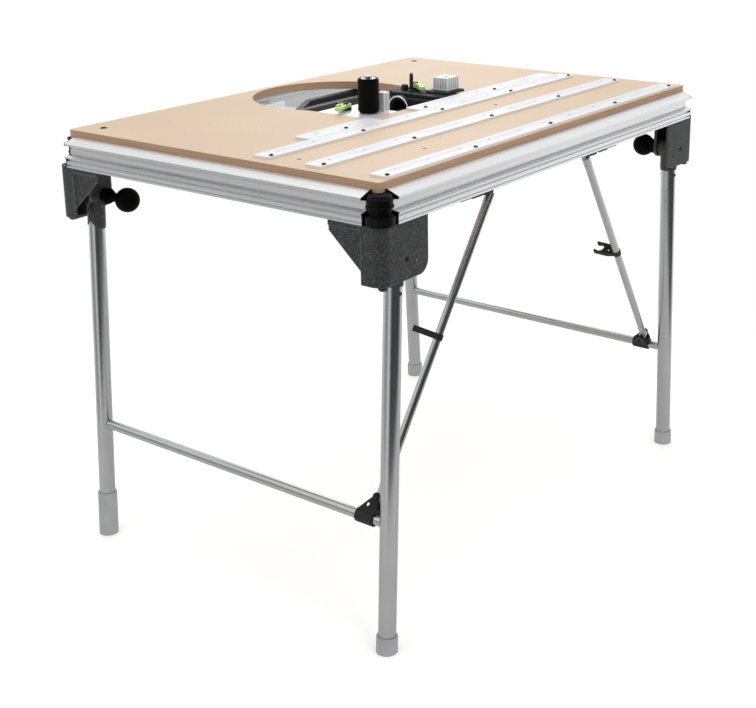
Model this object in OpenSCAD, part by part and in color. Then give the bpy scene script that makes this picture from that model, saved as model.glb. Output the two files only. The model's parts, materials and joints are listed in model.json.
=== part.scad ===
// Folding workshop table with a machine insert.
// X runs along the long side, Y along the short side, Z is up.
// The origin is on the floor under the middle of the top. Millimetres.

/* [Table top] */
// length of the wooden top
top_l = 1140; // [900:10:1400]
// width of the wooden top
top_w = 794; // [600:2:1000]
// thickness of the wooden top
top_t = 18; // [12:1:30]
// working height, floor to the upper face of the top
work_h = 900; // [700:10:1000]
// radius of the round end of the cut-out
cut_r = 186; // [120:1:220]

/* [Frame rails] */
// how far the rail lips stand out past the wooden top
rail_out = 28; // [15:1:45]
// height of a rail
rail_h = 58; // [45:1:80]
// distance from a rail end to the corner of the top
rail_gap = 18; // [10:1:40]

/* [Legs] */
// outside diameter of a leg tube
leg_od = 34; // [25:1:45]
// wall of a leg tube
leg_wall = 2; // [1.5:0.5:4]
// outward lean of the legs in degrees
lean = 2.95; // [0:0.05:6]
// distance of a leg pivot from the middle, along X
pivot_x = 523; // [450:1:560]
// height of the leg pivots
pivot_z = 759; // [650:1:800]
// distance of a leg from the middle, along Y
leg_y = 388; // [300:1:395]
// cross tube distance below the pivot, along the leg
cross_drop = 504; // [300:1:600]
// diameter of the cross tubes
cross_d = 20; // [15:1:30]

/* [Braces] */
// diameter of a brace tube
brace_d = 16; // [10:1:25]
// brace pivot distance from the cross tube axis
brace_off = 41; // [30:1:60]
// left brace pivot position along Y
brace_yl = -352; // [-366:1:-300]
// right brace pivot position along Y
brace_yr = -342; // [-366:1:-300]
// upper end of the left brace, along X
tip_l = -249; // [-350:1:-150]
// upper end of the right brace, along X
tip_r = 106; // [50:1:350]
// height of the upper brace ends
tip_z = 816; // [780:1:818]
// hook distance from the left brace pivot
hook_atl = 313; // [200:1:400]
// hook distance from the right brace pivot
hook_atr = 343; // [200:1:400]

/* [Strips] */
// width of a glide strip
strip_w = 42; // [25:1:60]
// thickness of a glide strip
strip_t = 4; // [2:0.5:8]

/* [Knobs] */
// diameter of a ball knob
knob_od = 50; // [35:1:60]

/* [Hidden] */
$fn = 64;
eps = 0.01;

hx = top_l / 2;               // half length of the top
hy = top_w / 2;               // half width of the top
seat_z = work_h - top_t;      // the top rests here
rail_z = seat_z + 5 - rail_h; // underside of the rails
brk_z = rail_z - 107;         // underside of the brackets
brk_x = hx + 22;              // outer face of a bracket, short side
brk_y = hy + 20;              // outer face of a bracket, long side
leg_r = leg_od / 2;
drop = pivot_z / cos(lean);   // pivot to floor, along the leg
cut_cx = 22;
cut_cy = 197;

// cross tube centre and brace geometry, side -1 is left and +1 is right
function cx_of(s) = s * (pivot_x + cross_drop * sin(lean));
cz = pivot_z - cross_drop * cos(lean);
function tx_of(s) = s < 0 ? tip_l : tip_r;
function len_xz(s) = sqrt(pow(tx_of(s) - cx_of(s), 2) + pow(tip_z - cz, 2));
function ux(s) = (tx_of(s) - cx_of(s)) / len_xz(s);
function uz(s) = (tip_z - cz) / len_xz(s);
slot_y = -(hy + 8);            // middle of the groove under the front rail
function by_of(s) = s < 0 ? brace_yl : brace_yr;
function run_xz(s) = len_xz(s) - brace_off;
function brace_len(s) = sqrt(pow(run_xz(s), 2) + pow(by_of(s) - slot_y, 2));
function brace_lean(s) = atan((by_of(s) - slot_y) / run_xz(s));
function tilt(s) = atan2(ux(s), uz(s));

// ---------- helpers ----------
module corner_place(sx, sy) { mirror([sx < 0 ? 1 : 0, 0, 0]) mirror([0, sy < 0 ? 1 : 0, 0]) children(); }
// leg space: origin at the pivot axis, Z runs along the leg
module leg_place(sx) { translate([sx * pivot_x, 0, pivot_z]) rotate([0, -sx * lean, 0]) children(); }
// collar space: origin on the cross tube axis, Z points up along the brace
module collar_place(s) { translate([cx_of(s), 0, cz]) rotate([0, tilt(s), 0]) children(); }
// brace space: origin at the brace pivot, Z along the brace
module brace_place(s) { collar_place(s) translate([0, by_of(s), brace_off]) rotate([brace_lean(s), 0, 0]) children(); }
module ycyl(r, y0, y1) { translate([0, y1, 0]) rotate([90, 0, 0]) cylinder(r = r, h = y1 - y0); }
module xcyl(r, x0, x1) { translate([x0, 0, 0]) rotate([0, 90, 0]) cylinder(r = r, h = x1 - x0); }

// ---------- top ----------
module cut_2d(g) {
  union() {
    translate([cut_cx, cut_cy]) circle(r = cut_r + g, $fn = 120);
    translate([-150 - g, -38.5 - g]) square([194 + 150 + 2 * g, cut_cy + 38.5 + g]);
  }
}
module top_board() color("#cdb28a") difference() {
  translate([0, 0, seat_z]) linear_extrude(top_t) offset(r = 6, $fn = 32) square([top_l - 12, top_w - 12], center = true);
  translate([0, 0, seat_z - 1]) linear_extrude(top_t + 2) cut_2d(0);
  for (sx = [-1, 1]) translate([sx * (hx - 48.5), hy - 48.5, seat_z - 1]) {
    cylinder(d = 10, h = top_t + 2, $fn = 48);
  }
  for (p = [[-512, -168], [-312, -300], [126, -168]]) translate([p[0], p[1], work_h - 3]) cylinder(d = 8, h = 5, $fn = 32);
}

// ---------- rails: section drawn with X outward from the top edge, Y up from the underside ----------
module rail_section() {
  polygon([[-14, 53], [0, 53], [0, 58], [3, 58], [28, 48.5], [28, 44.5], [16, 42], [13, 38.5], [16, 26.5], [12.5, 25],
    [13.5, 23.6], [28, 21], [28, 18.6], [22.5, 16.6], [22.5, 14.6], [26.5, 13.2], [26.5, 6.4], [22.5, 6.4], [22.5, 4], [26.5, 4], [26.5, 0],
    [12, 0], [12, 3.5], [16, 3.5], [16, 9], [0, 9], [0, 3.5], [4, 3.5], [4, 0], [-8, 0], [-8, 44], [-14, 49]]);
}
module cap_section() {
  polygon([[-14, 53], [0, 53], [0, 58], [3, 58], [28, 48.5], [28, 44.5], [16, 42], [13, 38.5], [13.5, 23.6],
    [28, 21], [28, 18.6], [26.5, 17], [26.5, 0], [-8, 0], [-8, 44], [-14, 49]]);
}
// the sections stand on the +X side, running along Y
module rail_bar(len) { translate([0, len / 2, rail_z]) rotate([90, 0, 0]) linear_extrude(len) rail_section(); }
module long_rail() rotate([0, 0, 90]) translate([hy, 0, 0]) rail_bar(top_l - 2 * rail_gap);
module short_rail() translate([hx, 0, 0]) rail_bar(top_w - 2 * rail_gap);
module rail_back() color("#d5d7da") long_rail();
module rail_front() color("#d5d7da") mirror([0, 1, 0]) long_rail();
module rail_right() color("#d5d7da") short_rail();
module rail_left() color("#d5d7da") mirror([1, 0, 0]) short_rail();

// ---------- corner connectors ----------
module corner_piece() {
  ex = hx - rail_gap; ey = hy - rail_gap;
  // end plates that follow the rail outline
  translate([hx, ey + 2.5, rail_z]) rotate([90, 0, 0]) linear_extrude(2.5) cap_section();
  rotate([0, 0, 90]) mirror([0, 1, 0]) translate([hy, ex + 2.5, rail_z]) rotate([90, 0, 0]) linear_extrude(2.5) cap_section();
  // stacked round column between the plates
  difference() {
    translate([hx + 2, hy + 2, rail_z]) {
      cylinder(r = 25.5, h = 5);
      translate([0, 0, 5]) cylinder(r = 27, h = 11.5);
      translate([0, 0, 16.5]) cylinder(r = 24.5, h = 2.5);
      translate([0, 0, 19]) cylinder(r = 20.8, h = 13);
      translate([0, 0, 32]) cylinder(r = 24.8, h = 2.5);
      translate([0, 0, 34.5]) cylinder(r = 23.2, h = 11);
      translate([0, 0, 45.5]) cylinder(r1 = 24.6, r2 = 19, h = 7.5, $fn = 64);
    }
    translate([0, 0, rail_z - 1]) cube([ex + 2.5, brk_y + 40, rail_h + 5]);
    translate([0, 0, rail_z - 1]) cube([brk_x + 40, ey + 2.5, rail_h + 5]);
    translate([hx + 2, hy + 2, rail_z - 1]) cylinder(r = 5, h = 70);
  }
}
// two connectors are slim: end plates and a square core behind the rail ends
module corner_core() {
  ex = hx - rail_gap; ey = hy - rail_gap;
  translate([hx, ey + 2, rail_z]) rotate([90, 0, 0]) linear_extrude(2) cap_section();
  rotate([0, 0, 90]) mirror([0, 1, 0]) translate([hy, ex + 2, rail_z]) rotate([90, 0, 0]) linear_extrude(2) cap_section();
  difference() {
    translate([ex, ey, rail_z + 2]) cube([rail_gap + 2, rail_gap + 2, rail_h - 8]);
    translate([ex + 8, ey + 8, rail_z - 1]) cylinder(r = 4, h = 70, $fn = 48);
  }
}
module corner_a() color("#4a4c4e") corner_place(-1, 1) corner_core();
module corner_b() color("#17181a") corner_place(-1, -1) corner_piece();
module corner_c() color("#17181a") corner_place(1, -1) corner_core();
module corner_d() color("#17181a") corner_place(1, 1) corner_piece();

// ---------- leg brackets ----------
bx0 = brk_x - 131;            // inner end of the long-side plate
by0 = brk_y - 117;            // inner end of the wing
module bracket_plan(t) {
  // an L of wall thickness 6 with a rounded outer corner, inset by t
  difference() {
    offset(r = 24 - t, $fn = 64) translate([bx0 - 60, by0 - 60]) square([brk_x - bx0 + 36, brk_y - by0 + 36]);
    translate([bx0 - 200, by0 - 200]) square([200, 600]);
    translate([bx0 - 200, by0 - 200]) square([600, 200]);
  }
}
module bracket() {
  difference() {
    union() {
      difference() {
        translate([0, 0, brk_z]) linear_extrude(107) bracket_plan(0);
        translate([0, 0, brk_z - 1]) linear_extrude(110) bracket_plan(6);
      }
      // upper flange under the rails
      difference() {
        translate([0, 0, rail_z - 6]) linear_extrude(6) bracket_plan(3);
        translate([bx0 - 1, by0 - 1, rail_z - 7]) cube([brk_x - bx0 - 44, brk_y - by0 - 57, 8]);
      }
      // floor of the corner box
      translate([0, 0, brk_z]) linear_extrude(5) intersection() {
        bracket_plan(3);
        translate([brk_x - 31, brk_y - 45]) square([60, 60]);
      }
      // inner plate with its round lower end
      translate([0, 366, 0]) rotate([90, 0, 0]) linear_extrude(6) union() {
        translate([503, 760]) square([57, rail_z - 760]);
        translate([503, pivot_z]) square([57, 8]);
        translate([pivot_x, pivot_z]) circle(r = 22);
        translate([pivot_x, pivot_z - 22]) square([35, 30]);
      }
      // web between the inner plate and the long-side plate
      translate([555, 362, brk_z + 4]) cube([6, brk_y - 366, rail_z - brk_z - 6]);
      // pivot bosses
      translate([pivot_x, 0, pivot_z]) ycyl(14, 407.2, 413);
      translate([pivot_x, 0, pivot_z]) ycyl(14, 363, 368.8);
      // stiffening ribs inside the wing
      translate([brk_x - 22, by0 + 40, rail_z - 50]) cube([18, 4, 46]);
    }
    // the wing face sits back from the corner box
    translate([brk_x - 2.4, by0 - 5, brk_z - 2]) cube([10, brk_y - by0 - 41, 98]);
    // slanting lower edge of the wing
    translate([brk_x - 60, 0, 0]) rotate([90, 0, 90]) linear_extrude(80)
      polygon([[by0 - 10, rail_z - 21], [by0, rail_z - 21], [brk_y - 46, brk_z + 22], [brk_y - 46, brk_z - 5], [by0 - 10, brk_z - 5]]);
    // rounded lower corner of the long-side plate
    translate([0, brk_y + 10, 0]) rotate([90, 0, 0]) linear_extrude(30) difference() {
      translate([bx0 - 5, brk_z - 5]) square([30, 30]);
      translate([bx0 + 25, brk_z + 25]) circle(r = 25, $fn = 96);
    }
    // pivot bores
    translate([pivot_x, 0, pivot_z]) ycyl(5, 350, 420);
    translate([pivot_x, 0, pivot_z]) ycyl(7.5, 411, 420);
    // second hole in the long-side plate
    translate([488, 0, 748]) ycyl(3.5, 405, 430);
    translate([488, 0, 748]) ycyl(6, 415, 430);
  }
}
module bracket_a() color("#3a3b3d") corner_place(-1, 1) bracket();
module bracket_b() color("#3a3b3d") corner_place(-1, -1) bracket();
module bracket_c() color("#3a3b3d") corner_place(1, -1) bracket();
module bracket_d() color("#3a3b3d") corner_place(1, 1) bracket();

module bracket_nubs() color("#111111") for (sx = [-1, 1], sy = [-1, 1]) corner_place(sx, sy)
  translate([brk_x - 19, brk_y - 14, 0]) {
    translate([0, 0, brk_z - 6]) cylinder(r = 8.5, h = 6);
    translate([0, 0, brk_z - 9]) cylinder(r1 = 6, r2 = 8.5, h = 3);
  }

module pivot_bolts() color("#2a2b2d") for (sx = [-1, 1], sy = [-1, 1]) corner_place(sx, sy)
  translate([pivot_x, 0, pivot_z]) difference() {
    union() { ycyl(5, 331, 412); ycyl(7.5, 411, 415.5); }
    translate([0, 420, 0]) rotate([90, 0, 0]) cylinder(r = 3.6, h = 7.5, $fn = 6);
  }

// ---------- glide strips ----------
module strip(x0, x1, yc) {
  difference() {
    translate([x0, yc - strip_w / 2, work_h]) linear_extrude(strip_t) difference() {
      union() {
        translate([10, 0]) square([x1 - x0 - 20, strip_w]);
        translate([0, 10]) square([x1 - x0, strip_w - 20]);
        for (p = [[10, 10], [x1 - x0 - 10, 10], [10, strip_w - 10], [x1 - x0 - 10, strip_w - 10]]) translate(p) circle(r = 10);
      }
    }
    // row of small bores along the middle
    for (i = [0 : floor((x1 - x0 - 60) / 98.5)]) translate([x0 + 52 + i * 98.5, yc + 5, work_h + 2]) cylinder(d = 5, h = 5, $fn = 24);
    // seats of the side screws
    for (x = [-530, -265, 0, 265, 520]) if (x > x0 + 6 && x < x1 - 6)
      translate([x, yc - strip_w / 2 + 8, work_h - 1]) cylinder(d = 8, h = 8, $fn = 32);
  }
}
module strip_1() color("#dcdee0") strip(-545, 535, -104);
module strip_2() color("#dcdee0") strip(-547, 535, -229);
module strip_3() color("#dcdee0") strip(-540, 538, -370);
module strips_short() color("#dcdee0") { strip(-384, -158, -60); strip(-30, 518, -60); }
module strip_screws() color("#2c2622") for (s = [[-545, 535, -104], [-547, 535, -229], [-540, 538, -370], [-384, -158, -60], [-30, 518, -60]])
  for (x = [-530, -265, 0, 265, 520]) if (x > s[0] + 6 && x < s[1] - 6)
    translate([x, s[2] - strip_w / 2 + 8, work_h]) difference() {
      cylinder(d = 8, h = strip_t - 0.8, $fn = 32);
      translate([0, 0, 1.5]) cylinder(r = 2.2, h = 5, $fn = 6);
    }

// ---------- brace catches in the groove of the front rail ----------
module catch_block(x0, x1, zb) {
  translate([x0, slot_y - 11, zb]) cube([x1 - x0, 22, rail_z - zb]);
  translate([x0, slot_y - 4, rail_z - 1]) cube([x1 - x0, 8, 4.5]);
  translate([x0, slot_y - 7.5, rail_z + 3.5]) cube([x1 - x0, 15, 5]);
}
module brace_catch(s) {
  a = tx_of(s);
  difference() {
    union() {
      catch_block(s < 0 ? a - 110 : a + 76, s < 0 ? a - 76 : a + 110, rail_z - 5);
      catch_block(s < 0 ? a - 72 : a + 38, s < 0 ? a - 38 : a + 72, rail_z - 7);
      translate([s < 0 ? a - 110 : a + 4, slot_y - 4, rail_z]) cube([106, 8, 3.5]);
      // seat beside the brace tip
      translate([s < 0 ? a - 30 : a + 2, slot_y - 9, rail_z - 9]) cube([28, 18, 9]);
    }
    brace_place(s) cylinder(r = 9.4, h = brace_len(s) + 9);
  }
}
module brace_catch_l() color("#151617") brace_catch(-1);
module brace_catch_r() color("#151617") brace_catch(1);

// ---------- machine insert ----------
module insert_support() color("#8d9195") difference() {
  union() {
    // flat bar across the near edge of the cut-out and two bars beside it, all under the top
    translate([-196, -78, seat_z - 6]) cube([436, 46, 6]);
    translate([-196, -33, seat_z - 6]) cube([24, 402, 6]);
    translate([214, -33, seat_z - 6]) cube([26, 402, 6]);
    // posts up to the plate
    for (x = [-138, -84]) {
      translate([x - 7, -33, seat_z - 6]) cube([14, 12, 6]);
      translate([x, -27, seat_z - 3]) cylinder(r = 5, h = 15, $fn = 32);
    }
    translate([-172, 84, seat_z - 6]) cube([40, 20, 4]);
    translate([-140, 94, seat_z - 3]) cylinder(r = 5, h = 15, $fn = 32);
  }
  for (x = [-184, 227], y = [20, 180, 340]) translate([x, y, seat_z - 8]) cylinder(r = 3, h = 10, $fn = 24);
}
module insert_plate() color("#c3c6c9") translate([0, 0, work_h - 6]) linear_extrude(6) difference() {
  polygon([[-149, -37.5], [-53, -37.5], [-53, 6], [-70, 30], [-78, 44], [-78, 100], [-149, 100]]);
  translate([-100, 2]) circle(r = 5);
  translate([-75, -19]) square([19, 18]);
}
module insert_tray() color("#e3e5e6") difference() {
  union() {
    translate([-192, -20, seat_z - 30]) cube([228, 388, 3]);
    translate([-192, -20, seat_z - 30]) cube([3, 388, 24]);
    translate([-192, -20, seat_z - 9]) cube([20, 388, 3]);
    translate([-192, 365, seat_z - 30]) cube([228, 3, 16]);
  }
  for (y = [20, 120, 320]) translate([-130, y, seat_z - 31]) cylinder(r = 6, h = 6, $fn = 32);
}
module insert_beam() color("#4b4e51") {
  difference() {
    translate([0, 0, seat_z - 22]) linear_extrude(16) polygon([[-102, 222], [42, 303], [238, 303], [238, 222]]);
    translate([0, 0, seat_z - 19]) linear_extrude(20) polygon([[-40, 240], [38, 286], [206, 286], [206, 240]]);
  }
  translate([0, 0, seat_z - 27]) linear_extrude(5) polygon([[-60, 236], [0, 270], [30, 270], [30, 236]]);
}
// flush plate on the machine, with the bar that carries the ribbed block
module machine_plate() color("#1b1c1e") difference() {
  union() {
    translate([128, -36, work_h - 8]) cube([64.5, 170, 8]);
    translate([158, -14, work_h]) cube([70, 58, 5]);
  }
  translate([158, 84, work_h - 20]) cylinder(r = 4.4, h = 30);
  translate([145, -25, work_h - 3]) cylinder(r = 4, h = 10, $fn = 32);
}
module machine_head() color("#202124") difference() {
  union() {
    translate([112, -31, seat_z - 40]) cube([80, 145, 50]);
    translate([46, 14, seat_z - 40]) cube([67, 32, 34]);
    translate([62, -31, seat_z - 36]) cube([51, 46, 40]);
    // collar round the side mouth
    translate([104, 80, seat_z - 13]) xcyl(29.5, 0, 9);
  }
  // round mouth that faces the short side
  translate([0, 80, seat_z - 15]) xcyl(23, 100, 160);
  // cooling slots
  for (i = [0 : 4]) translate([66 + i * 9, -32, seat_z - 30]) cube([4, 8, 24]);
}
// bent wire guard over the mouth
module chip_hoop() color("#c9ccce") translate([102.3, 80, seat_z - 13]) rotate([0, 90, 0]) rotate_extrude($fn = 96) translate([27.4, 0]) circle(r = 1.7, $fn = 24);
module upright() color("#cfd2d4") difference() {
  translate([-75, -19, work_h - 6]) cube([19, 18, 47]);
  // ribs on the near face
  for (i = [0 : 2]) translate([-71.5 + i * 5, -20, work_h + 3]) cube([2.2, 3, 34]);
  translate([-65.5, -10, work_h + 34]) cylinder(r = 4, h = 10, $fn = 32);
}
module ribbed_block() color("#b9bcbf") difference() {
  translate([182, 0, work_h + 5]) cube([46, 40, 28]);
  for (i = [0 : 4]) translate([187.4 + i * 8, -1, work_h + 8]) cube([4, 4, 26]);
  for (i = [0 : 4]) translate([181, 3 + i * 7.4, work_h + 8]) cube([4, 4, 26]);
  translate([205, 20, work_h + 27]) cylinder(r = 7, h = 10);
}
module guide_pin() color("#151617") translate([158, 84, 0]) {
  translate([0, 0, work_h - 8]) cylinder(r = 4.4, h = 45);
  translate([0, 0, work_h + 37]) cylinder(r1 = 4.4, r2 = 2.6, h = 5, $fn = 48);
  translate([0, 0, work_h]) cylinder(r = 8, h = 3);
}
module roller_axle() color("#d2d4d6") translate([-100, 2, 0]) {
  translate([0, 0, work_h - 6]) cylinder(r = 5, h = 85);
  translate([0, 0, work_h]) cylinder(r = 12, h = 1.5);
}
module guide_roller() color("#101112") translate([-100, 2, 0]) difference() {
  union() {
    translate([0, 0, work_h + 2.2]) cylinder(r = 20.5, h = 71.8);
    translate([0, 0, work_h + 6]) cylinder(r = 22.2, h = 66);
    translate([0, 0, work_h + 8]) cylinder(r = 22.6, h = 3);
    translate([0, 0, work_h + 67]) cylinder(r = 22.6, h = 3);
  }
  translate([0, 0, work_h]) cylinder(r = 5.06, h = 90);
  translate([0, 0, work_h + 70]) difference() { cylinder(r = 16, h = 10); cylinder(r = 9, h = 10); }
}
// clamps with a flat lever that swings about an upright pin
module clamp_base(x, y, a, arm) translate([x, y, work_h]) rotate([0, 0, a]) difference() {
  union() {
    cylinder(r = 12, h = 6);
    rotate([0, 0, arm]) translate([4, -9, 0]) cube([28, 18, 5]);
    rotate([0, 0, arm]) translate([20, -8, 4]) cube([11, 16, 8]);
    translate([0, 0, 5]) cylinder(r = 4, h = 9);
    translate([0, 0, 13.3]) cylinder(r = 6.5, h = 2.2);
  }
  translate([0, 0, 14.5]) cylinder(r = 2.5, h = 4, $fn = 24);
}
module clamp_lever(x, y, a) translate([x, y, work_h + 6.3]) rotate([0, 0, a]) difference() {
  union() {
    cylinder(r = 11, h = 6.6);
    translate([-44, -8, 0]) cube([44, 16, 6.6]);
    translate([-44, 0, 0]) cylinder(r = 8, h = 6.6);
    translate([-38, 4, 6]) cube([20, 4, 4]);
  }
  translate([0, 0, -1]) cylinder(r = 4.06, h = 20);
  translate([-18, 0, -1]) cylinder(r = 4, h = 20);
  translate([-34, -1, -1]) cylinder(r = 4.6, h = 20);
}
module clamp_bases() color("#1a1b1c") { clamp_base(-100, 64, 18, 48); clamp_base(188, 95, 56, 90); }
module clamp_lever_l() color("#8fc24a") clamp_lever(-100, 64, 18);
module clamp_lever_r() color("#8fc24a") clamp_lever(188, 95, 56);

// ---------- leg frames ----------
module leg_tube(sx, sy, end) leg_place(sx) translate([0, sy * leg_y, 0]) difference() {
  translate([0, 0, -end]) cylinder(r = leg_r, h = end - 26);
  translate([0, 0, -end - 1]) cylinder(r = leg_r - leg_wall, h = end + 2);
}
module leg_a() color("#a9abad") leg_tube(-1, 1, drop - 14);
module leg_b() color("#a9abad") leg_tube(-1, -1, drop - 7);
module leg_c() color("#a9abad") leg_tube(1, -1, drop - 7);
module leg_d() color("#a9abad") leg_tube(1, 1, drop - 7);

// low is how far the sleeve reaches below the pivot; a long sleeve ends in a slant on its outer side
module leg_head(sx, sy, low) leg_place(sx) difference() {
  union() {
    translate([0, sy * leg_y, 0]) difference() {
      translate([0, 0, -low]) cylinder(r = 18.7, h = low);
      translate([0, 0, -low - 1]) cylinder(r = leg_r, h = low - 25);
    }
    translate([0, 0, 0]) ycyl(18.7, sy * leg_y - 18.4, sy * leg_y + 18.4);
    // two through rivets
    for (z = [-44, -64], u = [-1, 1]) translate([0, sy * leg_y + u * (z < -low ? 15.6 : 17.2), z]) sphere(r = 4, $fn = 32);
  }
  if (low > 60) translate([0, sy * (leg_y + 20), -low - 2]) rotate([sy * -38, 0, 0]) translate([-30, -30, -24]) cube([60, 60, 26]);
  ycyl(5.06, sy > 0 ? 360 : -416, sy > 0 ? 416 : -360);
  translate([0, sy * leg_y, -100]) cylinder(r = leg_r, h = 74);
}
module leg_head_a() color("#2f3133") leg_head(-1, 1, 72);
module leg_head_b() color("#2f3133") leg_head(-1, -1, 51);
module leg_head_c() color("#2f3133") leg_head(1, -1, 51);
module leg_head_d() color("#2f3133") leg_head(1, 1, 51);

module cross_tube(sx) leg_place(sx) translate([0, 0, -cross_drop]) difference() {
  ycyl(cross_d / 2, -leg_y, leg_y);
  ycyl(cross_d / 2 - 1.5, -leg_y - 1, leg_y + 1);
  for (sy = [-1, 1]) translate([0, sy * leg_y, -40]) cylinder(r = leg_r, h = 80);
}
module cross_tube_l() color("#b4b6b8") cross_tube(-1);
module cross_tube_r() color("#b4b6b8") cross_tube(1);

// cup shaped foot, its lower face is level with the floor
module foot_cap(sx, sy, h, ro, ri, floor_t) difference() {
  leg_place(sx) translate([0, sy * leg_y, -drop - 2]) difference() {
    union() {
      cylinder(r = ro, h = h);
      translate([0, 0, h]) cylinder(r1 = ro, r2 = ro - 1.6, h = 2, $fn = 64);
    }
    translate([0, 0, floor_t + 2]) cylinder(r = ri, h = h + 10);
  }
  translate([sx * 560 - 60, sy * leg_y - 60, -40]) cube([120, 120, 40]);
}
module foot_a() color("#b9bbbc") foot_cap(-1, 1, 97, 20.5, leg_r + 0.06, 6);
module foot_b() color("#b9bbbc") foot_cap(-1, -1, 33, 20.5, leg_r, 7);
module feet_cd() color("#b9bbbc") {
  foot_cap(1, -1, 33, 20.5, leg_r, 7);
  foot_cap(1, 1, 33, 20.5, leg_r, 7);
}

// ---------- collars, braces and hooks ----------
module collar(s) {
  y = by_of(s);
  collar_place(s) difference() {
    union() {
      ycyl(14, y - 4, y + 35);
      // two cheeks that hold the brace pivot
      for (u = [-12.2, 8.4]) translate([u, 0, 0]) rotate([90, 0, 90]) linear_extrude(3.8) union() {
        polygon([[y - 4, 8], [y + 35, 8], [y + 12, 34], [y + 5, brace_off], [y - 6, brace_off], [y - 6, 12]]);
        translate([y, brace_off]) circle(r = 7.6);
      }
      translate([-9, y - 4, 10]) cube([18, 20, 8]);
      // pivot pin with heads
      translate([0, y, brace_off]) xcyl(4, -13, 13);
      translate([0, y, brace_off]) xcyl(6, 12, 14.6);
      translate([0, y, brace_off]) xcyl(6, -14.6, -12);
    }
    ycyl(cross_d / 2 + 0.06, -380, -300);
    translate([0, y + 13, 22.5]) xcyl(4.2, -20, 20);
  }
}
module collar_l() color("#1c1d1f") collar(-1);
module collar_r() color("#1c1d1f") collar(1);

module brace(s) brace_place(s) difference() {
  union() {
    xcyl(8.2, -8.1, 8.1);
    cylinder(r = brace_d / 2, h = brace_len(s));
    translate([0, 0, brace_len(s) - 20]) cylinder(r = brace_d / 2 + 0.6, h = 22);
  }
  xcyl(4.06, -10, 10);
  translate([0, 0, 30]) cylinder(r = brace_d / 2 - 1.5, h = brace_len(s) - 60);
}
module brace_l() color("#9fa1a3") brace(-1);
module brace_r() color("#9fa1a3") brace(1);

// clip on the brace: a thin ring round the tube and a fork that drops over the cross tube
module hook(s) brace_place(s) translate([0, 0, (s < 0 ? hook_atl : hook_atr) - 6]) difference() {
  union() {
    cylinder(r = brace_d / 2 + 1.6, h = 12);
    linear_extrude(12) polygon([[-8, 2], [8, 2], [13, 20], [13, brace_off + 10], [-13, brace_off + 10], [-13, 20]]);
  }
  translate([0, 0, -1]) cylinder(r = brace_d / 2, h = 20);
  translate([0, brace_off, -1]) cylinder(r = cross_d / 2 + 0.5, h = 20);
  translate([-cross_d / 2 + 1, brace_off, -1]) cube([cross_d - 2, 20, 20]);
  translate([-4.5, 15, -1]) cube([9, 9, 20]);
}
module hook_l() color("#161718") hook(-1);
module hook_r() color("#161718") hook(1);

// ---------- ball knobs ----------
// inset is how much nearer to the leg the ball sits
module knob(sx, sy, inset) corner_place(sx, sy) translate([pivot_x, 0, pivot_z]) difference() {
  union() {
    translate([0, 291 + inset, 0]) sphere(r = knob_od / 2, $fn = 96);
    if (inset < 20) ycyl(9, 305, 348);
    ycyl(16.5, 346.5, 351.5);
    ycyl(14.5, 351, 359.7);
    if (inset < 20) ycyl(11.5, 336, 347);
    // pointer rib on the flange
    translate([-2.5, 340, 0]) cube([5, 7, 15.5]);
  }
  ycyl(5.06, 329, 370);
}
module knob_a() color("#0e0f10") knob(-1, 1, 0);
module knob_b() color("#0e0f10") knob(-1, -1, 33);
module knob_c() color("#0e0f10") knob(1, -1, 33);
module knob_d() color("#0e0f10") knob(1, 1, 33);

// ---------- assembly ----------
top_board();
rail_front();
rail_back();
rail_left();
rail_right();
corner_a();
corner_b();
corner_c();
corner_d();
bracket_a();
bracket_b();
bracket_c();
bracket_d();
bracket_nubs();
pivot_bolts();
strip_1();
strip_2();
strip_3();
strips_short();
strip_screws();
brace_catch_l();
brace_catch_r();
insert_plate();
insert_support();
insert_tray();
insert_beam();
machine_plate();
machine_head();
chip_hoop();
upright();
ribbed_block();
guide_pin();
roller_axle();
guide_roller();
clamp_bases();
clamp_lever_l();
clamp_lever_r();
leg_a();
leg_b();
leg_c();
leg_d();
leg_head_a();
leg_head_b();
leg_head_c();
leg_head_d();
cross_tube_l();
cross_tube_r();
foot_a();
foot_b();
feet_cd();
collar_l();
collar_r();
brace_l();
brace_r();
hook_l();
hook_r();
knob_a();
knob_b();
knob_c();
knob_d();
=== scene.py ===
"""Folding workshop router table: looks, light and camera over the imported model."""
import math
import json
import random

import bpy
import bmesh
from mathutils import Vector, Matrix


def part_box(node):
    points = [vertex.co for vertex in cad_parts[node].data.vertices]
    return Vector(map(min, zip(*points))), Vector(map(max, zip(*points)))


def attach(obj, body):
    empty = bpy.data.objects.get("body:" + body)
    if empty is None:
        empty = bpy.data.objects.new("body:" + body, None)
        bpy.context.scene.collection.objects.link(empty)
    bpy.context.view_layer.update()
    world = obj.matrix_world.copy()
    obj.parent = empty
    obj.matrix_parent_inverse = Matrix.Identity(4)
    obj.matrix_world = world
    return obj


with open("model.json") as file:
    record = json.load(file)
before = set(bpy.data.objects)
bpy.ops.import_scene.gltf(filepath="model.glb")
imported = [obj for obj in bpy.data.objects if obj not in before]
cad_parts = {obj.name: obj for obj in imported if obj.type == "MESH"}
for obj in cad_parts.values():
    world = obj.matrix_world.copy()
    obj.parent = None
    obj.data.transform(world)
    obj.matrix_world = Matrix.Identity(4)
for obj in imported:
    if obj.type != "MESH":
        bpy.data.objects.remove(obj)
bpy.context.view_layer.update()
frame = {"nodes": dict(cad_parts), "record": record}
random.seed(7)


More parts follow.
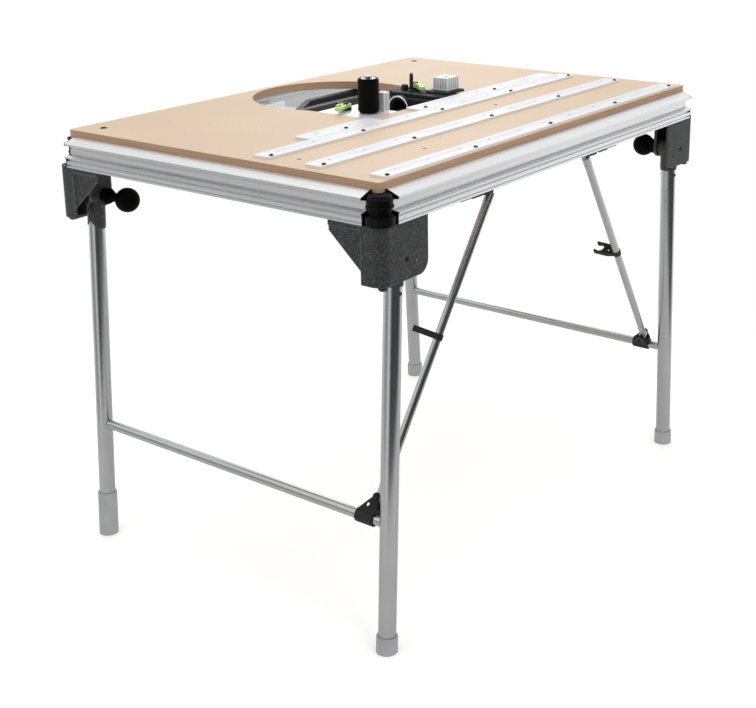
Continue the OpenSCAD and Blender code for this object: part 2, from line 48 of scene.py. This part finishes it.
# ----------------------------------------------------------------- materials
class Mat:
    """Small helper for node materials; every constant is set on the shader's own socket."""

    def __init__(self, name):
        self.m = bpy.data.materials.new(name)
        self.m.use_nodes = True
        self.t = self.m.node_tree
        self.t.nodes.clear()
        self.out = self.t.nodes.new("ShaderNodeOutputMaterial")
        self.b = self.t.nodes.new("ShaderNodeBsdfPrincipled")
        self.t.links.new(self.b.outputs[0], self.out.inputs[0])
        self.pos = None

    def set(self, **k):
        names = {"metal": "Metallic", "rough": "Roughness", "spec": "Specular IOR Level",
                 "coat": "Coat Weight", "coat_rough": "Coat Roughness", "aniso": "Anisotropic",
                 "sheen": "Sheen Weight", "sheen_rough": "Sheen Roughness", "ior": "IOR"}
        for a, v in k.items():
            self.b.inputs[names[a]].default_value = v
        return self

    def n(self, kind, **k):
        x = self.t.nodes.new(kind)
        for a, v in k.items():
            setattr(x, a, v)
        return x

    def link(self, a, b):
        self.t.links.new(a, b)

    def coords(self, scale=(1, 1, 1), rot=(0, 0, 0)):
        tc = self.n("ShaderNodeTexCoord")
        mp = self.n("ShaderNodeMapping")
        mp.inputs["Scale"].default_value = scale
        mp.inputs["Rotation"].default_value = rot
        self.link(tc.outputs["Object"], mp.inputs["Vector"])
        return mp.outputs["Vector"]

    def noise(self, vec, scale, detail=4.0, rough=0.55, dist=0.0):
        x = self.n("ShaderNodeTexNoise")
        x.inputs["Scale"].default_value = scale
        x.inputs["Detail"].default_value = detail
        x.inputs["Roughness"].default_value = rough
        x.inputs["Distortion"].default_value = dist
        self.link(vec, x.inputs["Vector"])
        return x.outputs["Fac"]

    def voronoi(self, vec, scale, feature="F1"):
        x = self.n("ShaderNodeTexVoronoi", feature=feature)
        x.inputs["Scale"].default_value = scale
        self.link(vec, x.inputs["Vector"])
        return x.outputs["Distance"]

    def ramp(self, fac, stops, mode="LINEAR"):
        x = self.n("ShaderNodeValToRGB")
        x.color_ramp.interpolation = mode
        e = x.color_ramp.elements
        while len(e) > 1:
            e.remove(e[-1])
        e[0].position = stops[0][0]
        e[0].color = col(stops[0][1])
        for p, c in stops[1:]:
            q = e.new(p)
            q.color = col(c)
        self.link(fac, x.inputs["Fac"])
        return x.outputs["Color"]

    def mix(self, fac, a, b, mode="MIX"):
        x = self.n("ShaderNodeMix", data_type="RGBA", blend_type=mode)
        for sock, v in ((x.inputs[0], fac), (x.inputs[6], a), (x.inputs[7], b)):
            if hasattr(v, "is_linked") or hasattr(v, "links"):
                self.link(v, sock)
            elif isinstance(v, (int, float)):
                sock.default_value = v
            else:
                sock.default_value = col(v)
        return x.outputs[2]

    def math(self, op, a, b=None, clamp=False):
        x = self.n("ShaderNodeMath", operation=op, use_clamp=clamp)
        for sock, v in ((x.inputs[0], a), (x.inputs[1], b)):
            if v is None:
                continue
            if isinstance(v, (int, float)):
                sock.default_value = v
            else:
                self.link(v, sock)
        return x.outputs[0]

    def rng(self, v, a, b, c, d):
        x = self.n("ShaderNodeMapRange")
        x.inputs["From Min"].default_value = a
        x.inputs["From Max"].default_value = b
        x.inputs["To Min"].default_value = c
        x.inputs["To Max"].default_value = d
        self.link(v, x.inputs["Value"])
        return x.outputs[0]

    def bump(self, height, strength=0.2, dist=0.001, prev=None, edge=0.0):
        if edge > 0.0:
            e = self.n("ShaderNodeBevel")
            e.samples = 4
            e.inputs["Radius"].default_value = edge
            prev = e.outputs["Normal"]
        x = self.n("ShaderNodeBump")
        x.inputs["Strength"].default_value = strength
        x.inputs["Distance"].default_value = dist
        self.link(height, x.inputs["Height"])
        if prev is not None:
            self.link(prev, x.inputs["Normal"])
        self.link(x.outputs["Normal"], self.b.inputs["Normal"])
        return x.outputs["Normal"]

    def color(self, sock):
        self.link(sock, self.b.inputs["Base Color"])

    def rough(self, sock):
        self.link(sock, self.b.inputs["Roughness"])


def col(c):
    return tuple(c) + (1.0,) if len(c) == 3 else tuple(c)


def edge_mask(m, lo=0.0, hi=1.0, scale=1.0):
    """Geometry pointiness, a mask of the convex edges; callers lighten them, partly as wear, partly as a painted edge
    highlight.
    """
    g = m.n("ShaderNodeNewGeometry")
    return m.rng(g.outputs["Pointiness"], 0.5 + 0.02 * lo, 0.5 + 0.08 * hi, 0.0, scale)


def scuff_and_highlight_edges(m, radius, lo=0.03, hi=0.30, scale=1.0):
    """Mask of the edges, from how far the rounded normal leaves the flat one; also gives the rounded normal."""
    e = m.n("ShaderNodeBevel")
    e.samples = 6
    e.inputs["Radius"].default_value = radius
    g = m.n("ShaderNodeNewGeometry")
    d = m.n("ShaderNodeVectorMath", operation="DOT_PRODUCT")
    m.link(e.outputs["Normal"], d.inputs[0])
    m.link(g.outputs["Normal"], d.inputs[1])
    k = m.math("SUBTRACT", 1.0, d.outputs["Value"], clamp=True)
    return m.rng(k, lo, hi, 0.0, scale), e.outputs["Normal"]


def normal_z(m):
    g = m.n("ShaderNodeTexCoord")
    s = m.n("ShaderNodeSeparateXYZ")
    m.link(g.outputs["Normal"], s.inputs[0])
    return s.outputs["Z"]


def axis_pos(m, axis):
    g = m.n("ShaderNodeTexCoord")
    s = m.n("ShaderNodeSeparateXYZ")
    m.link(g.outputs["Object"], s.inputs[0])
    return s.outputs["XYZ".index(axis)]


def mdf():
    m = Mat("fibreboard")
    v = m.coords()
    fine = m.noise(v, 900.0, 3.0, 0.6)
    mid = m.noise(v, 160.0, 4.0, 0.6)
    big = m.noise(v, 5.0, 4.0, 0.55)
    fibre = m.noise(m.coords((60, 900, 900)), 6.0, 3.0, 0.7)
    c = m.ramp(mid, [(0.3, (0.575, 0.425, 0.292)), (0.5, (0.625, 0.475, 0.335)), (0.72, (0.675, 0.525, 0.380))])
    c = m.mix(m.rng(big, 0.3, 0.7, 0.0, 0.35), c, (0.560, 0.405, 0.272))
    c = m.mix(m.rng(fine, 0.60, 0.80, 0.0, 0.30), c, (0.370, 0.245, 0.150))
    c = m.mix(m.rng(fibre, 0.62, 0.78, 0.0, 0.22), c, (0.740, 0.600, 0.450))
    # cut edges are browner, with fine layers
    nz = normal_z(m)
    side = m.math("SUBTRACT", 1.0, m.math("ABSOLUTE", nz), clamp=True)
    z = axis_pos(m, "Z")
    lay = m.noise(m.coords((4, 4, 420)), 3.0, 3.0, 0.6)
    ec = m.ramp(lay, [(0.25, (0.290, 0.175, 0.105)), (0.5, (0.400, 0.248, 0.152)), (0.8, (0.510, 0.335, 0.220))])
    ec = m.mix(m.rng(fine, 0.45, 0.75, 0.0, 0.5), ec, (0.150, 0.068, 0.030))
    c = m.mix(m.rng(side, 0.3, 0.7, 0.0, 1.0), c, ec)
    m.color(c)
    m.rough(m.rng(mid, 0.3, 0.7, 0.46, 0.62))
    m.bump(fine, 0.10, 0.0006, edge=0.0012)
    m.set(spec=0.46)
    return m.m


def extruded(name, base=(0.70, 0.71, 0.72), along="X", rough=(0.26, 0.40), strength=0.05, dark=(0.46, 0.47, 0.48), metal=0.9, bands=0.35):
    """Anodised extrusion: fine lines along the axis."""
    m = Mat(name)
    sc = {"X": (2, 700, 700), "Y": (700, 2, 700), "Z": (700, 700, 2)}[along]
    lines = m.noise(m.coords(sc), 1.0, 4.0, 0.6)
    band = m.noise(m.coords(tuple(x if x == 2 else 210 for x in sc)), 1.0, 3.0, 0.6)
    cloud = m.noise(m.coords(), 9.0, 3.0, 0.5)
    c = m.ramp(lines, [(0.30, dark), (0.5, base), (0.75, tuple(min(1.0, x * 1.10) for x in base))])
    c = m.mix(m.rng(band, 0.42, 0.66, 0.0, bands), c, tuple(x * 0.62 for x in base))
    c = m.mix(m.rng(cloud, 0.35, 0.7, 0.0, 0.30), c, tuple(x * 0.86 for x in base))
    # lighter edges on the extrusion: partly wear, partly a painted edge highlight
    g = edge_mask(m, 0.2, 1.0, 0.5)
    c = m.mix(g, c, (0.90, 0.91, 0.92))
    m.color(c)
    m.rough(m.rng(lines, 0.3, 0.7, rough[0], rough[1]))
    m.bump(lines, strength, 0.0004)
    m.set(metal=metal, spec=0.5)
    return m.m


def painted(name, base, grain=420.0, rough=(0.38, 0.55), bump=0.18, metal=0.0, scuff_and_highlight_tint=(0.35, 0.36, 0.37), scuff_and_highlight_amount=0.35, spec=0.45, dark=0.75, dist=0.0006, light=1.18, er=0.0014):
    """Powder coat or paint with a fine orange peel, small specks and tinted edges: partly wear, partly a painted edge
    highlight.
    """
    m = Mat(name)
    v = m.coords()
    g1 = m.noise(v, grain, 3.0, 0.6)
    g2 = m.noise(v, 14.0, 5.0, 0.6)
    c = m.ramp(g1, [(0.36, tuple(x * dark for x in base)), (0.52, base), (0.68, tuple(min(1, x * light) for x in base))])
    c = m.mix(m.rng(g2, 0.4, 0.75, 0.0, 0.35), c, tuple(x * 0.80 for x in base))
    # edge tint from the rounded normal: partly wear, partly a painted edge highlight where it is lighter
    mask, soft = scuff_and_highlight_edges(m, er, 0.02, 0.20, 1.0)
    if scuff_and_highlight_amount > 0:
        broken = m.rng(m.noise(v, 90.0, 4.0, 0.65), 0.35, 0.62, 0.25, 1.0)
        c = m.mix(m.math("MULTIPLY", m.math("MULTIPLY", mask, broken), scuff_and_highlight_amount), c, scuff_and_highlight_tint)
    m.color(c)
    m.rough(m.rng(g1, 0.3, 0.7, rough[0], rough[1]))
    m.bump(g1, bump, dist, prev=soft)
    m.set(metal=metal, spec=spec)
    return m.m


def plastic(name, base, rough=(0.30, 0.42), grain=900.0, bump=0.06, coat=0.0, spec=0.5, lift=1.35):
    m = Mat(name)
    v = m.coords()
    g1 = m.noise(v, grain, 2.0, 0.5)
    g2 = m.noise(v, 22.0, 4.0, 0.6)
    scr = m.noise(m.coords((30, 400, 260), (0.3, 0.7, 0.2)), 3.0, 3.0, 0.7)
    c = m.ramp(g2, [(0.3, tuple(x * 0.85 for x in base)), (0.6, base), (0.85, tuple(min(1, x * lift) for x in base))])
    # lighter edges on the plastic: partly wear, partly a painted edge highlight
    c = m.mix(edge_mask(m, 0.5, 2.0, 0.30), c, tuple(min(1, x * 1.9 + 0.02) for x in base))
    m.color(c)
    m.rough(m.math("ADD", m.rng(g1, 0.3, 0.7, rough[0], rough[1]), m.rng(scr, 0.6, 0.8, 0.0, 0.10)))
    m.bump(g1, bump, 0.0003, edge=0.001)
    m.set(spec=spec, coat=coat, coat_rough=0.12)
    return m.m


def rubber(name, base=(0.018, 0.018, 0.019), spec=0.4):
    m = Mat(name)
    v = m.coords()
    g = m.noise(v, 700.0, 3.0, 0.6)
    dust = m.noise(v, 30.0, 5.0, 0.65)
    rings = m.noise(m.coords((3, 3, 420)), 1.0, 2.0, 0.5)
    c = m.ramp(g, [(0.3, tuple(x * 0.7 for x in base)), (0.7, tuple(x * 1.5 for x in base))])
    c = m.mix(m.rng(dust, 0.5, 0.8, 0.0, 0.25), c, tuple(x * 3.0 for x in base))
    m.color(c)
    m.rough(m.rng(dust, 0.3, 0.7, 0.42, 0.62))
    m.bump(m.math("ADD", g, m.math("MULTIPLY", rings, 0.8)), 0.22, 0.0005)
    m.set(spec=spec)
    return m.m


def turned(name, base=(0.62, 0.63, 0.64), rough=(0.20, 0.34)):
    """Turned or ground steel."""
    m = Mat(name)
    lines = m.noise(m.coords((3, 3, 900)), 1.0, 3.0, 0.6)
    cl = m.noise(m.coords(), 60.0, 3.0, 0.6)
    c = m.ramp(lines, [(0.3, tuple(x * 0.75 for x in base)), (0.7, tuple(min(1, x * 1.15) for x in base))])
    c = m.mix(m.rng(cl, 0.5, 0.8, 0.0, 0.25), c, tuple(x * 0.6 for x in base))
    m.color(c)
    m.rough(m.rng(lines, 0.3, 0.7, rough[0], rough[1]))
    m.bump(lines, 0.08, 0.0003)
    m.set(metal=1.0)
    return m.m


M = {}
M["mdf"] = mdf()
M["rail_x"] = extruded("rail_aluminium_x", base=(0.78, 0.785, 0.79), along="X", rough=(0.20, 0.34), dark=(0.36, 0.365, 0.37), metal=0.88, bands=0.60)
# the short side rails take a darker copy of the rail aluminium: painted shade
M["rail_y"] = extruded("short_rail_aluminium_shaded", base=(0.70, 0.705, 0.71), along="Y", rough=(0.20, 0.34), dark=(0.34, 0.345, 0.35), metal=0.88, bands=0.65)
M["corner"] = plastic("corner_plastic", (0.0022, 0.0022, 0.0025), rough=(0.34, 0.48), spec=0.09)
# the charcoal bracket's much lighter edges: partly wear, partly a painted edge highlight
M["bracket"] = painted("charcoal_powder_coat", (0.027, 0.0275, 0.029), grain=330.0, rough=(0.40, 0.58), bump=0.95, scuff_and_highlight_tint=(0.30, 0.30, 0.305), scuff_and_highlight_amount=0.85, dist=0.0014, spec=0.34, dark=0.35, light=3.0, er=0.0026)
M["rubber"] = rubber("black_rubber")
M["dark_steel"] = painted("blackened_steel", (0.040, 0.040, 0.043), grain=600.0, rough=(0.26, 0.40), bump=0.08, metal=0.7, scuff_and_highlight_amount=0.25)
M["strip"] = extruded("glide_strip_aluminium", base=(0.60, 0.607, 0.613), along="X", rough=(0.46, 0.60), dark=(0.36, 0.37, 0.38), metal=0.25, strength=0.10, bands=0.55)
M["screw"] = painted("dark_screws", (0.030, 0.022, 0.017), grain=700.0, rough=(0.42, 0.56), bump=0.08, metal=0.2, scuff_and_highlight_amount=0.15, spec=0.3, er=0.0004)
M["clip"] = plastic("clip_plastic", (0.008, 0.008, 0.009), rough=(0.40, 0.54), spec=0.22)
M["support"] = turned("plain_steel_bar", (0.42, 0.43, 0.44), (0.34, 0.5))
M["plate"] = extruded("machined_plate", base=(0.80, 0.81, 0.82), along="X", rough=(0.30, 0.42), dark=(0.64, 0.65, 0.66), metal=0.4)
M["tray"] = painted("light_grey_sheet", (0.86, 0.87, 0.88), grain=380.0, rough=(0.34, 0.48), bump=0.05, scuff_and_highlight_tint=(0.8, 0.8, 0.8), scuff_and_highlight_amount=0.2)
M["beam"] = painted("dark_grey_paint", (0.040, 0.042, 0.046), grain=460.0, rough=(0.44, 0.58), bump=0.12, scuff_and_highlight_tint=(0.3, 0.3, 0.31), scuff_and_highlight_amount=0.45, spec=0.25)
M["machine"] = painted("black_casting", (0.014, 0.0145, 0.016), grain=420.0, rough=(0.50, 0.66), bump=0.34, scuff_and_highlight_tint=(0.10, 0.10, 0.105), scuff_and_highlight_amount=0.35, spec=0.22, light=1.6)
M["wire"] = turned("bright_wire", (0.80, 0.81, 0.82), (0.12, 0.2))
M["block"] = extruded("ribbed_aluminium", base=(0.66, 0.67, 0.68), along="Z", rough=(0.40, 0.52), dark=(0.56, 0.57, 0.58), metal=0.3)
M["roller"] = rubber("black_roller", (0.0018, 0.0018, 0.0020), spec=0.07)
M["axle"] = turned("turned_steel", (0.66, 0.67, 0.68), (0.16, 0.28))
M["lever"] = plastic("green_lever", (0.36, 0.62, 0.16), rough=(0.26, 0.38), coat=0.2, lift=1.15)
M["tube"] = painted("silver_tube_paint", (0.53, 0.535, 0.54), grain=640.0, rough=(0.19, 0.27), bump=0.05, metal=1.0, scuff_and_highlight_tint=(0.6, 0.6, 0.61), scuff_and_highlight_amount=0.15, dark=0.9)
M["head"] = painted("dark_coated_steel", (0.036, 0.037, 0.040), grain=520.0, rough=(0.36, 0.50), bump=0.20, scuff_and_highlight_tint=(0.14, 0.14, 0.145), scuff_and_highlight_amount=0.30, spec=0.4)
M["foot"] = plastic("grey_foot_plastic", (0.275, 0.281, 0.286), rough=(0.36, 0.50), lift=1.1)
M["knob"] = plastic("black_knob", (0.0016, 0.0016, 0.0018), rough=(0.52, 0.64), bump=0.05, spec=0.05)

SLOT = {s["node"]: s["material_slot"] for s in frame["record"]["subparts"]}


def cad_material(node):
    s = SLOT[node]
    if s == "rail":
        return M["rail_x"] if node in ("rail_front", "rail_back") else M["rail_y"]
    return M[s]


for node in SLOT:
    ob = frame["nodes"][node]
    if isinstance(ob, str):
        ob = bpy.data.objects[ob]
    mat = cad_material(node)
    if not ob.material_slots:
        ob.data.materials.append(mat)
    for sl in ob.material_slots:
        sl.material = mat

# ----------------------------------------------------------------- small detail pieces
def lathe(bm, prof, at, n=32, axis="Z"):
    """Turn a profile of (radius, height) into bm; a radius of 0 closes to a point."""
    rings = []
    for r, h in prof:
        ring = []
        for i in range(1 if r == 0 else n):
            a = math.tau * i / n
            v = Vector((r * math.cos(a), r * math.sin(a), h))
            if axis == "-Y":
                v = Vector((v.x, -v.z, v.y))
            elif axis == "Y":
                v = Vector((-v.x, v.z, v.y))
            ring.append(bm.verts.new(v + Vector(at)))
        rings.append(ring)
    for a, b in zip(rings, rings[1:] + rings[:1]):
        if len(a) == 1 and len(b) == 1:
            continue
        for i in range(n):
            j = (i + 1) % n
            if len(a) == 1:
                bm.faces.new((a[0], b[j], b[i]))
            elif len(b) == 1:
                bm.faces.new((a[i], a[j], b[0]))
            else:
                bm.faces.new((a[i], a[j], b[j], b[i]))


def piece(name, build, mat, body):
    bm = bmesh.new()
    build(bm)
    bmesh.ops.recalc_face_normals(bm, faces=bm.faces[:])
    for f in bm.faces:
        f.smooth = True
    for e in bm.edges:
        if len(e.link_faces) == 2 and e.calc_face_angle() > math.radians(32):
            e.smooth = False
    me = bpy.data.meshes.new(name)
    bm.to_mesh(me)
    bm.free()
    ob = bpy.data.objects.new(name, me)
    bpy.context.scene.collection.objects.link(ob)
    me.materials.append(mat)
    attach(ob, body)
    return ob


def button(k=1.0, h=1.0):
    """Domed screw head with a driver recess."""
    return [(0, 0.0009 * h), (0.0016 * k, 0.0009 * h), (0.0019 * k, 0.0027 * h), (0.0029 * k, 0.0030 * h), (0.0039 * k, 0.0025 * h),
            (0.0046 * k, 0.0014 * h), (0.0048 * k, 0.0003 * h), (0.0048 * k, 0.0), (0, 0.0)]


def strip_heads(bm):
    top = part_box("strip_1")[1][2]
    for x0, x1, yc in ((-0.545, 0.535, -0.104), (-0.547, 0.535, -0.229), (-0.540, 0.538, -0.370), (-0.384, -0.158, -0.060), (-0.030, 0.518, -0.060)):
        for x in (-0.530, -0.265, 0.0, 0.265, 0.520):
            if x0 + 0.006 < x < x1 - 0.006:
                lathe(bm, button(0.86, 0.9), (x, yc - 0.013, top), 28)


# threaded inserts lining the two board holes; their dark steel also stands in for the shade inside the bores (painted
# shade)
def inserts_with_painted_hole_shade(bm):
    for sx, sy in ((-1, 1), (1, 1)):
        lathe(bm, [(0.00494, 0.8885), (0.00494, 0.9008), (0.0053, 0.9012), (0.0070, 0.9010), (0.0074, 0.9005), (0.0074, 0.8999),
                   (0.0056, 0.8999), (0.0056, 0.8885)], (sx * 0.5215, sy * 0.3485, 0.0), 48)


def plate_bolts(bm):
    for x, y in ((0.134, -0.010), (0.136, 0.127), (0.186, 0.127)):
        lathe(bm, [(0, 0.0004), (0.0019, 0.0004), (0.0021, 0.0019), (0.0034, 0.0017), (0.0038, 0.0012), (0.0038, -0.0002), (0, -0.0002)], (x, y, 0.900), 32)


def roller_ring(bm):
    lathe(bm, [(0.0093, 0.0), (0.0093, 0.0029), (0.0098, 0.0034), (0.0150, 0.0034), (0.0156, 0.0028), (0.0156, 0.0)], (-0.100, 0.002, 0.9702), 64)


piece("strip_screw_heads", strip_heads, M["screw"], "frame")
piece("board_insert_rings", inserts_with_painted_hole_shade, M["dark_steel"], "frame")
piece("machine_plate_bolts", plate_bolts, M["dark_steel"], "frame")
piece("roller_cap_ring", roller_ring, M["axle"], "guide_roller_body")

# ----------------------------------------------------------------- floor, light, camera
fl = bpy.data.meshes.new("floor")
FR = 1.45
fl.from_pydata([(FR * math.cos(math.tau * i / 96), FR * math.sin(math.tau * i / 96), -0.0005) for i in range(96)], [], [tuple(range(96))])
floor = bpy.data.objects.new("floor", fl)
bpy.context.scene.collection.objects.link(floor)
fm = Mat("pale_floor")
fc = fm.ramp(fm.noise(fm.coords(), 1.2, 2.0, 0.5), [(0.3, (0.93, 0.93, 0.93)), (0.7, (0.95, 0.95, 0.95))])
# the floor turns grey only in reflections, a painted darker reflection on the tubes; for the other rays it glows
# faintly to stay evenly white
flp = fm.n("ShaderNodeLightPath")
fm.color(fm.mix(flp.outputs["Is Glossy Ray"], fc, (0.66, 0.66, 0.665)))
fm.b.inputs["Emission Color"].default_value = (1.0, 1.0, 1.0, 1.0)
fm.link(fm.math("MULTIPLY", fm.math("SUBTRACT", 1.0, flp.outputs["Is Glossy Ray"]), 0.16), fm.b.inputs["Emission Strength"])
fm.set(rough=0.9, spec=0.1)
fl.materials.append(fm.m)

w = bpy.data.worlds.new("studio")
bpy.context.scene.world = w
w.use_nodes = True
wt = w.node_tree
bg = wt.nodes["Background"]
bg.inputs["Strength"].default_value = 1.0


def wnode(kind, **k):
    x = wt.nodes.new(kind)
    for a, v in k.items():
        setattr(x, a, v)
    return x


# a white studio with one dark side, which gives the tubes their dark streak
tc = wnode("ShaderNodeTexCoord")
dot = wnode("ShaderNodeVectorMath", operation="DOT_PRODUCT")
wt.links.new(tc.outputs["Generated"], dot.inputs[0])
dot.inputs[1].default_value = (-0.26, -0.965, -0.05)
lobe = wnode("ShaderNodeMapRange", interpolation_type="SMOOTHSTEP")
lobe.inputs["From Min"].default_value = 0.28
lobe.inputs["From Max"].default_value = 0.68
wt.links.new(dot.outputs["Value"], lobe.inputs["Value"])
mixw = wnode("ShaderNodeMix", data_type="RGBA")
lp = wnode("ShaderNodeLightPath")
# a softer grey panel on the left, for the waist of the short rail
dot2 = wnode("ShaderNodeVectorMath", operation="DOT_PRODUCT")
wt.links.new(tc.outputs["Generated"], dot2.inputs[0])
dot2.inputs[1].default_value = (-0.80, 0.59, -0.10)
lobe2 = wnode("ShaderNodeMapRange", interpolation_type="SMOOTHSTEP")
lobe2.inputs["From Min"].default_value = 0.78
lobe2.inputs["From Max"].default_value = 0.97
lobe2.inputs["To Max"].default_value = 0.62
wt.links.new(dot2.outputs["Value"], lobe2.inputs["Value"])
both = wnode("ShaderNodeMath", operation="MAXIMUM")
wt.links.new(lobe.outputs[0], both.inputs[0])
wt.links.new(lobe2.outputs[0], both.inputs[1])
gl = wnode("ShaderNodeMath", operation="MULTIPLY")
wt.links.new(both.outputs[0], gl.inputs[0])
wt.links.new(lp.outputs["Is Glossy Ray"], gl.inputs[1])
wt.links.new(gl.outputs[0], mixw.inputs[0])
mixw.inputs[6].default_value = (1.0, 1.0, 1.0, 1.0)
mixw.inputs[7].default_value = (0.05, 0.05, 0.052, 1.0)
seen = wnode("ShaderNodeMix", data_type="RGBA")
wt.links.new(lp.outputs["Is Camera Ray"], seen.inputs[0])
wt.links.new(mixw.outputs[2], seen.inputs[6])
seen.inputs[7].default_value = (1.0, 1.0, 1.0, 1.0)
wt.links.new(seen.outputs[2], bg.inputs["Color"])


def area(name, loc, aim, size, power, color=(1, 1, 1), size_y=None):
    d = bpy.data.lights.new(name, "AREA")
    d.energy = power
    d.color = color
    d.size = size
    if size_y:
        d.shape = "RECTANGLE"
        d.size_y = size_y
    o = bpy.data.objects.new(name, d)
    o.location = loc
    o.rotation_euler = (Vector(aim) - Vector(loc)).to_track_quat("-Z", "Y").to_euler()
    bpy.context.scene.collection.objects.link(o)
    return o


area("key", (-1.5, -3.7, 3.0), (0, 0, 0.6), 1.6, 24.0)
area("left", (-3.8, 1.6, 2.0), (0, 0, 0.6), 1.6, 1.5)
area("top", (0.4, 0.6, 3.8), (0, 0, 0.8), 2.4, 12.0)
area("rim", (3.0, 2.2, 2.2), (0, 0, 0.7), 1.4, 12.0)

cam_d = bpy.data.cameras.new("camera")
cam = bpy.data.objects.new("camera", cam_d)
bpy.context.scene.collection.objects.link(cam)
AZ, EL, ROLL, FPX, CX, CY = 0.92451, 0.28985, -0.01146, 1330.53, 415.0, 245.0
cam.location = (-2.25157, -1.73887, 1.43339)
cam.rotation_euler = (Matrix.Rotation(-AZ, 3, "Z") @ Matrix.Rotation(math.pi / 2 - EL, 3, "X") @ Matrix.Rotation(ROLL, 3, "Z")).to_euler()
cam_d.sensor_fit = "HORIZONTAL"
cam_d.sensor_width = 36.0
cam_d.lens = FPX / 756.0 * 36.0
cam_d.shift_x = -(CX - 378.0) / 756.0
cam_d.shift_y = (CY - 354.0) / 756.0
cam_d.clip_end = 60.0
bpy.context.scene.camera = cam
bpy.context.scene.view_settings.view_transform = "Standard"
